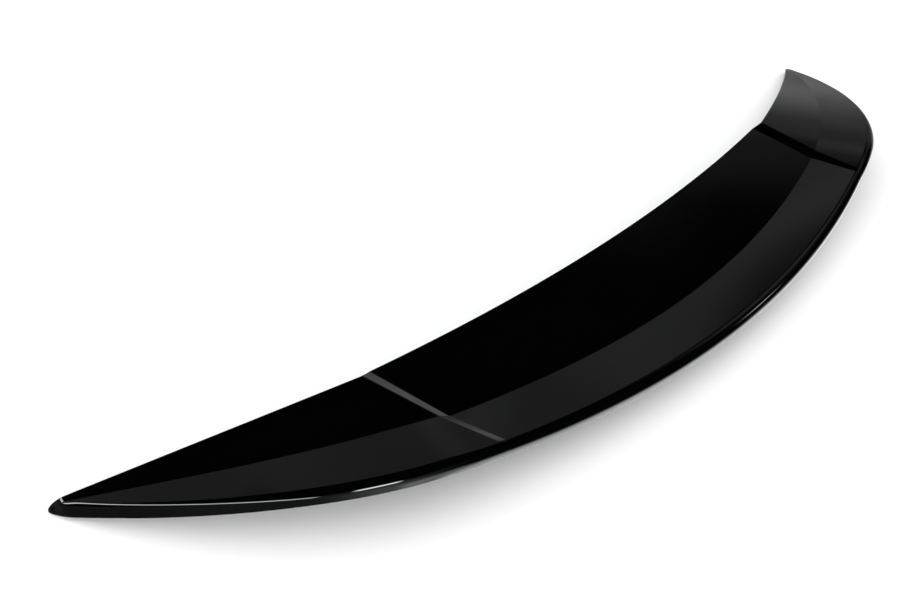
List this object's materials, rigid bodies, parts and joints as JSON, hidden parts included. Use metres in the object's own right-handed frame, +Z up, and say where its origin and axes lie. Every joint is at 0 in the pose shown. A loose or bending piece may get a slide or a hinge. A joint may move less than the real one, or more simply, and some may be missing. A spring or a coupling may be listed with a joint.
{
  "type": "car boot lid spoiler",
  "caption": "Gloss black lip spoiler for a car boot lid: a recessed middle, stepped raised wings, a kicked-up rear edge and swept tips, bonded along its leading edge.",
  "frame": {"origin": "middle of the flat bonding land under the leading edge, at mid span", "axes": "+X along the span, +Y towards the front of the car, +Z up off the boot lid"},
  "size_m": [1.1878, 0.2943, 0.0634],
  "materials": {
    "gloss_black_skin": "piano black moulded plastic under a clear high gloss"
  },
  "bodies": {
    "root": {"spoiler_shell": "gloss_black_skin"}
  },
  "joints": []
}
